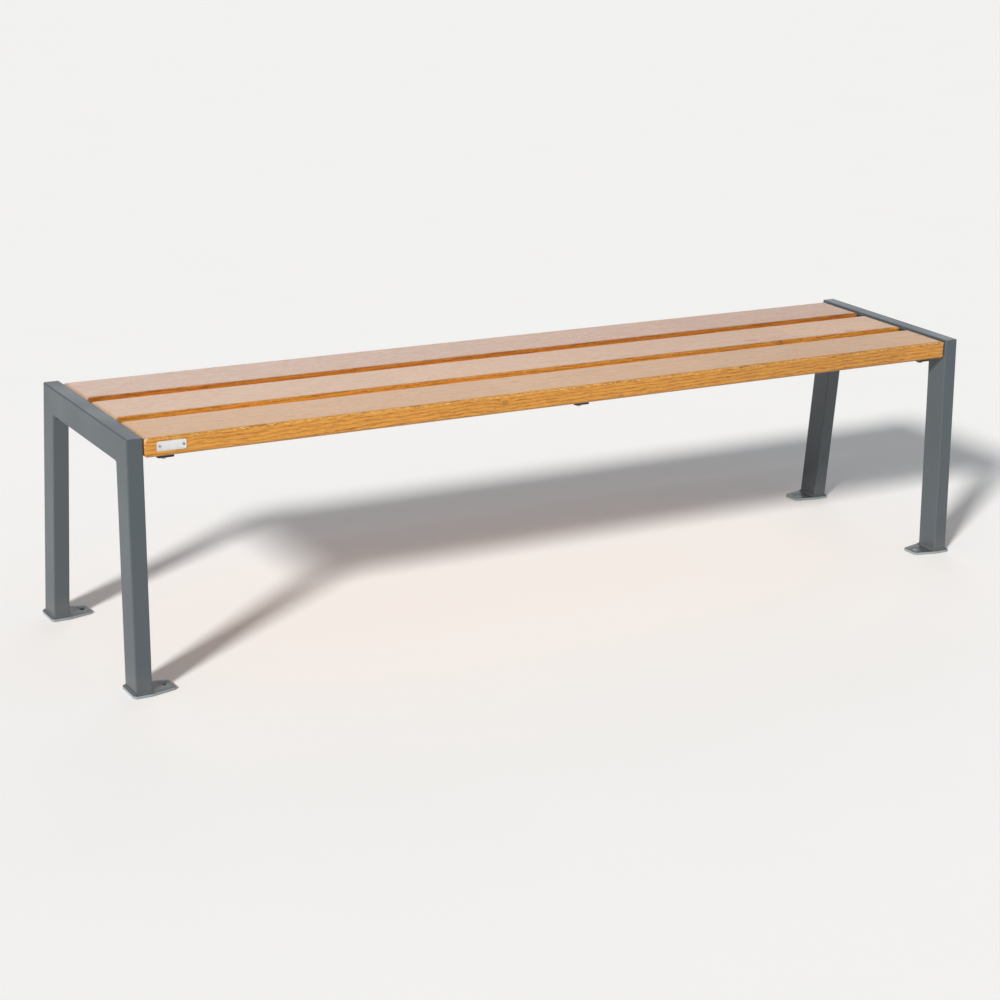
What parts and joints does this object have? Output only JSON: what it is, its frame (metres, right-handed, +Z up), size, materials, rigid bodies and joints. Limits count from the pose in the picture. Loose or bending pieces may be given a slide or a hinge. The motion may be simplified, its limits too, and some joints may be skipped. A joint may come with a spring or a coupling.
{
  "type": "backless bench",
  "caption": "Backless street bench: hardwood slats bolted on cross bars between two welded steel tube end frames with bolt-down feet.",
  "frame": {"origin": "on the floor at the centre of the footprint", "axes": "+X along the seat, from the left end frame to the right one; -Y is the front; +Z up"},
  "size_m": [1.81, 0.464, 0.45],
  "materials": {
    "frame_steel": "powder-coated, fine satin texture",
    "slat_wood": "stained hardwood, satin",
    "bar_steel": "black paint, satin",
    "fastener_steel": "zinc plated",
    "nameplate_metal": "satin anodised"
  },
  "bodies": {
    "root": {"left_top_rail": "frame_steel", "left_front_leg": "frame_steel", "left_rear_leg": "frame_steel", "left_front_base": "frame_steel", "left_rear_base": "frame_steel", "left_corner_welds": "frame_steel", "left_foot_welds": "frame_steel", "left_front_lug": "frame_steel", "left_rear_lug": "frame_steel", "left_lug_welds": "frame_steel", "right_top_rail": "frame_steel", "right_front_leg": "frame_steel", "right_rear_leg": "frame_steel", "right_front_base": "frame_steel", "right_rear_base": "frame_steel", "right_corner_welds": "frame_steel", "right_foot_welds": "frame_steel", "right_front_lug": "frame_steel", "right_rear_lug": "frame_steel", "right_lug_welds": "frame_steel", "front_slat": "slat_wood", "middle_slat": "slat_wood", "rear_slat": "slat_wood", "left_cross_bar": "bar_steel", "centre_cross_bar": "bar_steel", "right_cross_bar": "bar_steel", "left_bar_screws": "fastener_steel", "left_bar_washers": "fastener_steel", "centre_bar_screws": "fastener_steel", "centre_bar_washers": "fastener_steel", "right_bar_screws": "fastener_steel", "right_bar_washers": "fastener_steel", "front_slat_inserts": "fastener_steel", "middle_slat_inserts": "fastener_steel", "rear_slat_inserts": "fastener_steel", "left_lug_bolts": "fastener_steel", "right_lug_bolts": "fastener_steel", "lug_bolt_washers": "fastener_steel", "lug_bolt_nuts": "fastener_steel", "nameplate": "nameplate_metal", "nameplate_pins": "fastener_steel"}
  },
  "joints": []
}
